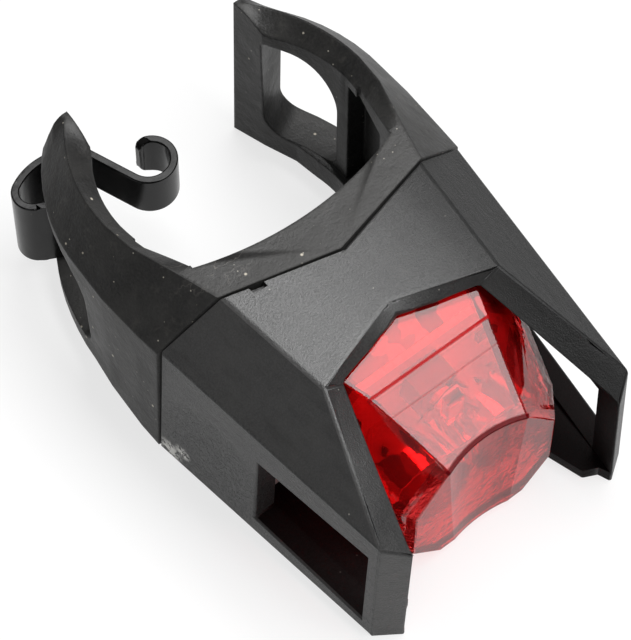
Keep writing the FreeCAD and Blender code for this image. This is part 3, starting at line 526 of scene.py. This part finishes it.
shell = shell_plastic()
rubber = cradle_rubber()
gloss_black = hook_plastic()
red_lens = lens_plastic()
white_plastic = carrier_plastic()
black_plastic = plain_plastic("inner_black", (0.022, 0.022, 0.022), (0.034, 0.034, 0.034), rough=0.5)
seal_rubber = plain_plastic(
    "seal_rubber", (0.018, 0.018, 0.018), (0.030, 0.030, 0.030), rough=0.7, spec=0.3
)
chip_black = plain_plastic("chip_black", (0.015, 0.015, 0.015), (0.024, 0.024, 0.024), rough=0.45)
stem_white = plain_plastic("stem_white", (0.72, 0.72, 0.70), (0.80, 0.80, 0.78), rough=0.35)
steel = metal("screw_steel", (0.50, 0.50, 0.51), (0.60, 0.60, 0.61), rough=0.3)
cell_steel = metal(
    "cell_steel", (0.66, 0.66, 0.67), (0.75, 0.75, 0.76), rough=0.25, grain=900, stretch=None
)
contact_metal = metal("contact_metal", (0.74, 0.60, 0.30), (0.82, 0.70, 0.38), rough=0.25)
mirror = metal(
    "reflector_mirror", (0.86, 0.86, 0.87), (0.92, 0.92, 0.93), rough=0.10, grain=700, stretch=None
)
epoxy = led_epoxy()
board = board_resin()

node_materials = {
    "hood": shell,
    "rear_cover": black_plastic,
    "rear_seal": seal_rubber,
    "cradle": rubber,
    "strap_hook": gloss_black,
    "lens": red_lens,
    "lens_seal": seal_rubber,
    "carrier": white_plastic,
    "carrier_screws": steel,
    "battery_front": cell_steel,
    "battery_rear": cell_steel,
    "contact_front": contact_metal,
    "contact_rear": contact_metal,
    "circuit_board": board,
    "board_screws": steel,
    "switch_body": chip_black,
    "switch_stem": stem_white,
    "driver_chip": chip_black,
    "resistors": chip_black,
    "led_left": epoxy,
    "led_right": epoxy,
    "led_leads": contact_metal,
    "reflector_left": mirror,
    "reflector_right": mirror,
}
for name, mat in node_materials.items():
    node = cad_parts[name]
    if not node.material_slots:
        node.data.materials.append(mat)
    for socket in node.material_slots:
        socket.material = mat


# Finished skins for the pieces that show


solids = {name: BVHTree.FromObject(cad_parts[name], bpy.context.evaluated_depsgraph_get())
          for name in ("hood", "cradle", "lens")}
same_place = 0.002 * MM


def opens_outside(line):
    """True for an edge with nothing in front of it."""
    clear_start = 0.05 * MM
    normal = line.link_faces[0].normal + line.link_faces[1].normal
    start = (line.verts[0].co + line.verts[1].co) / 2 + normal.normalized() * clear_start
    return all(solid.ray_cast(start, normal)[0] is None for solid in solids.values())


def weigh_edges(bm, sharp, shortest, outer):
    """Marks the edges to round: sharper than sharp degrees and longer than shortest millimetres.

    With outer, only those that open outside.
    """
    wide = [face for face in bm.faces if len(face.verts) > 4]
    bmesh.ops.triangulate(bm, faces=wide)
    bm.normal_update()
    weight = bm.edges.layers.float.new("bevel_weight_edge")
    for line in bm.edges:
        turned = len(line.link_faces) == 2 and line.calc_face_angle(0.0) > math.radians(sharp)
        if turned and line.calc_length() > shortest * MM and (not outer or opens_outside(line)):
            line[weight] = 1.0


def finished(node_name, body, mat, sharp, flat=1.5, edge=0.0, segments=3, shortest=0.0, outer=False):
    """A copy of a CAD node with even shading and, with an edge in millimetres, rounded edges.

    Faces that turn by less than flat degrees are joined.
    """
    bm = bmesh.new()
    bm.from_mesh(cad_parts[node_name].data)
    bmesh.ops.remove_doubles(bm, verts=bm.verts, dist=same_place)
    bmesh.ops.dissolve_limit(
        bm, angle_limit=math.radians(flat), use_dissolve_boundaries=False, verts=bm.verts, edges=bm.edges
    )
    if edge:
        weigh_edges(bm, sharp, shortest, outer)
    for face in bm.faces:
        face.material_index = 0
    mesh = bpy.data.meshes.new(node_name + "_skin")
    bm.to_mesh(mesh)
    bm.free()
    mesh.materials.append(mat)
    mesh.shade_smooth()
    mesh.set_sharp_from_angle(angle=math.radians(sharp))
    obj = bpy.data.objects.new(node_name + "_skin", mesh)
    scene.collection.objects.link(obj)
    if edge:
        bevel = obj.modifiers.new("edges", "BEVEL")
        bevel.limit_method = "WEIGHT"
        bevel.width = edge * MM
        bevel.segments = segments
        bevel.use_clamp_overlap = False
        bevel.harden_normals = True
    even = obj.modifiers.new("even", "WEIGHTED_NORMAL")
    even.keep_sharp = True
    even.weight = 80
    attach(obj, body)
    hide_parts(node_name)
    return obj


def draw_back_floor(mesh):
    """Brings the front inner corners of the hood's floor onto the inner edges of the prongs' ends."""
    slack = 0.1 * MM
    floor_top = floor_top_z * MM
    inner_y = prong_inner_y * MM

    def at_corner(vertex):
        return vertex.co.y < inner_y + slack and vertex.co.z < floor_top + slack

    bm = bmesh.new()
    bm.from_mesh(mesh)
    corners = [vertex for vertex in bm.verts if at_corner(vertex)]
    ends = [vertex.co.copy() for vertex in corners if vertex.co.y > inner_y - slack]
    for vertex in corners:
        end = next(end for end in ends if end.x * vertex.co.x > 0)
        lower = Vector((end.x, end.y - end_face_lead * MM, vertex.co.z))
        vertex.co = lower if vertex.co.z < floor_top - slack else end
    bmesh.ops.remove_doubles(bm, verts=bm.verts, dist=same_place)
    weight = bm.edges.layers.float["bevel_weight_edge"]
    for line in bm.edges:
        if all(at_corner(vertex) for vertex in line.verts):
            line[weight] = 1.0
    bm.to_mesh(mesh)
    bm.free()


def leave_front_sharp(mesh):
    """Rounds no edge within the lens's front, so that its lobes run into the hollow."""
    facing_front = -0.8
    front_faces = {}
    for polygon in mesh.polygons:
        if polygon.normal.y < facing_front:
            for key in polygon.edge_keys:
                front_faces[key] = front_faces.get(key, 0) + 1
    weights = mesh.attributes["bevel_weight_edge"].data
    for line in mesh.edges:
        if front_faces.get(line.key, 0) == 2:
            weights[line.index].value = 0.0


hood_skin = finished("hood", "housing", shell, sharp=9.0, flat=0.1, edge=0.26, shortest=2.0, outer=True)
draw_back_floor(hood_skin.data)
cradle_skin = finished("cradle", "housing", rubber, sharp=13.0)
hook_skin = finished("strap_hook", "hook", gloss_black, sharp=28.0, edge=0.18)
lens_skin = finished(
    "lens", "lens_button", red_lens, sharp=9.0, flat=0.1, edge=0.12, segments=2, shortest=1.0, outer=True
)
leave_front_sharp(lens_skin.data)


# Floor, light and camera


def floor():
    """White ground that takes shadows and, where it is seen, partly shines by itself."""
    radii = (0.02, 0.06, 0.15, 0.4, 1.2)
    sides = 32
    gap = 0.02 * MM
    glow_share = 0.72

    bm = bmesh.new()
    centre = bm.verts.new((0, 0, 0))
    previous = None
    for radius in radii:
        angles = [2 * math.pi * i / sides for i in range(sides)]
        ring = [bm.verts.new((radius * math.cos(a), radius * math.sin(a), 0)) for a in angles]
        for i in range(sides):
            after = (i + 1) % sides
            if previous is None:
                bm.faces.new((centre, ring[i], ring[after]))
            else:
                bm.faces.new((previous[i], ring[i], ring[after], previous[after]))
        previous = ring
    mesh = bpy.data.meshes.new("floor")
    bm.to_mesh(mesh)
    bm.free()
    obj = bpy.data.objects.new("floor", mesh)
    scene.collection.objects.link(obj)
    obj.location = (0, 0, -gap)

    mat, tree, shader, out = new_material("floor_white")
    tone = noise(tree, 40)
    base = mix_color(tree, tone, (0.90, 0.90, 0.90), (0.92, 0.92, 0.92))
    tree.links.new(base, shader.inputs["Base Color"])
    shader.inputs["Roughness"].default_value = 0.9
    shader.inputs["Specular IOR Level"].default_value = 0.1
    glow = tree.nodes.new("ShaderNodeEmission")
    glow.inputs["Color"].default_value = (1, 1, 1, 1)
    glow.inputs["Strength"].default_value = 1.0
    path = tree.nodes.new("ShaderNodeLightPath")
    seen = greater(tree, path.outputs["Is Camera Ray"], path.outputs["Is Transmission Ray"])
    seen = greater(tree, seen, path.outputs["Is Glossy Ray"])
    surface = mix_shader(
        tree, times(tree, seen, glow_share), shader.outputs["BSDF"], glow.outputs["Emission"]
    )
    tree.links.new(surface, out.inputs["Surface"])
    mesh.materials.append(mat)


def area(name, location, size, power, target=None):
    """Rectangular lamp; metres and watts. Without a target it looks straight down."""
    data = bpy.data.lights.new(name, "AREA")
    data.shape = "RECTANGLE"
    data.size = size[0]
    data.size_y = size[1]
    data.energy = power
    obj = bpy.data.objects.new(name, data)
    scene.collection.objects.link(obj)
    obj.location = location
    if target is not None:
        direction = Vector(target) - Vector(location)
        obj.rotation_euler = direction.to_track_quat("-Z", "Y").to_euler()


def camera():
    """The photograph's camera, fitted to the object's corners."""
    turn = math.radians(-39.2409)
    rise = math.radians(60.0482)
    roll = math.radians(0.4580)
    distance = 342.046
    across = 0.469
    upward = -10.503
    aim = Vector((0, 0, 25.6))
    photo_rows = 640.0
    focal_rows = 3361.497
    sensor_height = 36.0

    back = Vector((math.sin(turn) * math.cos(rise), -math.cos(turn) * math.cos(rise), math.sin(rise)))
    right = Vector((math.cos(turn), math.sin(turn), 0))
    up = back.cross(right)
    tilted_right = right * math.cos(roll) + up * math.sin(roll)
    tilted_up = -right * math.sin(roll) + up * math.cos(roll)
    centre = back * distance + tilted_right * across + tilted_up * upward + aim
    data = bpy.data.cameras.new("camera")
    data.sensor_fit = "VERTICAL"
    data.sensor_height = sensor_height
    data.lens = sensor_height * focal_rows / photo_rows
    data.clip_start = 0.01
    data.clip_end = 10.0
    obj = bpy.data.objects.new("camera", data)
    scene.collection.objects.link(obj)
    basis = Matrix((tilted_right, tilted_up, back)).transposed().to_4x4()
    basis.translation = centre * MM
    obj.matrix_world = basis
    scene.camera = obj


def backdrop():
    """White behind the object, and a dimmer even light from all round."""
    ambient_strength = 0.22
    world = bpy.data.worlds.new("studio")
    scene.world = world
    world.use_nodes = True
    tree = world.node_tree
    tree.nodes.clear()
    out = tree.nodes.new("ShaderNodeOutputWorld")
    lights = []
    for strength in (ambient_strength, 1.0):
        light = tree.nodes.new("ShaderNodeBackground")
        light.inputs["Color"].default_value = (1, 1, 1, 1)
        light.inputs["Strength"].default_value = strength
        lights.append(light.outputs["Background"])
    path = tree.nodes.new("ShaderNodeLightPath")
    surface = mix_shader(tree, path.outputs["Is Camera Ray"], lights[0], lights[1])
    tree.links.new(surface, out.inputs["Surface"])


floor()
camera()
area("softbox", (0.14, -0.05, 0.40), size=(0.22, 0.62), power=2.9)
area("side_fill", (-0.38, -0.18, 0.15), size=(0.20, 0.12), power=0.24, target=(0.0, 0.0, 0.01))
area("front_fill", (-0.05, -0.45, 0.18), size=(0.30, 0.15), power=0.10, target=(0.0, -0.01, 0.01))
backdrop()
scene.view_settings.view_transform = "Standard"
